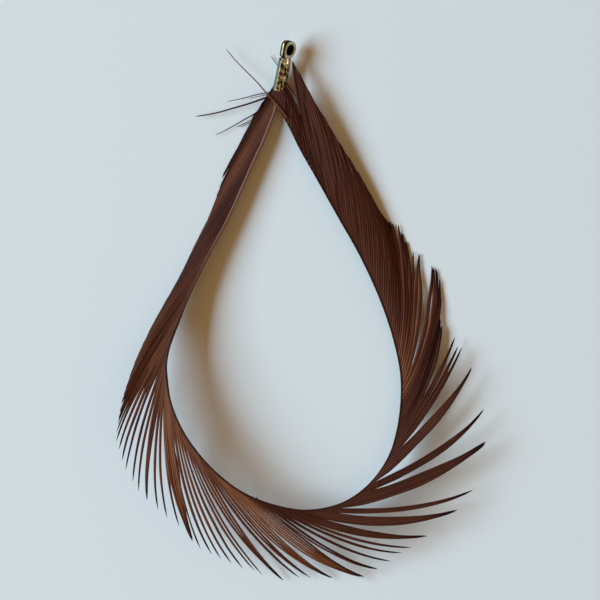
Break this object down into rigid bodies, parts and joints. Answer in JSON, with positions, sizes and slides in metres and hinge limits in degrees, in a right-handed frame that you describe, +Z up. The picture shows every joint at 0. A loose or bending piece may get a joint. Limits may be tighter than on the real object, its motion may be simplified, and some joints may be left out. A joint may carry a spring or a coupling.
{
  "type": "feather earring drop",
  "caption": "Teardrop earring drop: a one-sided strip of pheasant tail feather bent in a loop, its ends gripped in a brass crimp end with an eye.",
  "frame": {"origin": "middle of the loop's box, on the surface that it lies on", "axes": "+Y from the bottom of the loop towards the crimp end's eye, +X to the right as seen from above, +Z up out of the surface"},
  "size_m": [0.0694, 0.1014, 0.008],
  "materials": {
    "feather_barbs": "matte, slightly silky along the barbs",
    "antique_brass": "antiqued, worn bright on the edges"
  },
  "bodies": {
    "root": {"feather": "feather_barbs", "crimp_end": "antique_brass"}
  },
  "joints": []
}
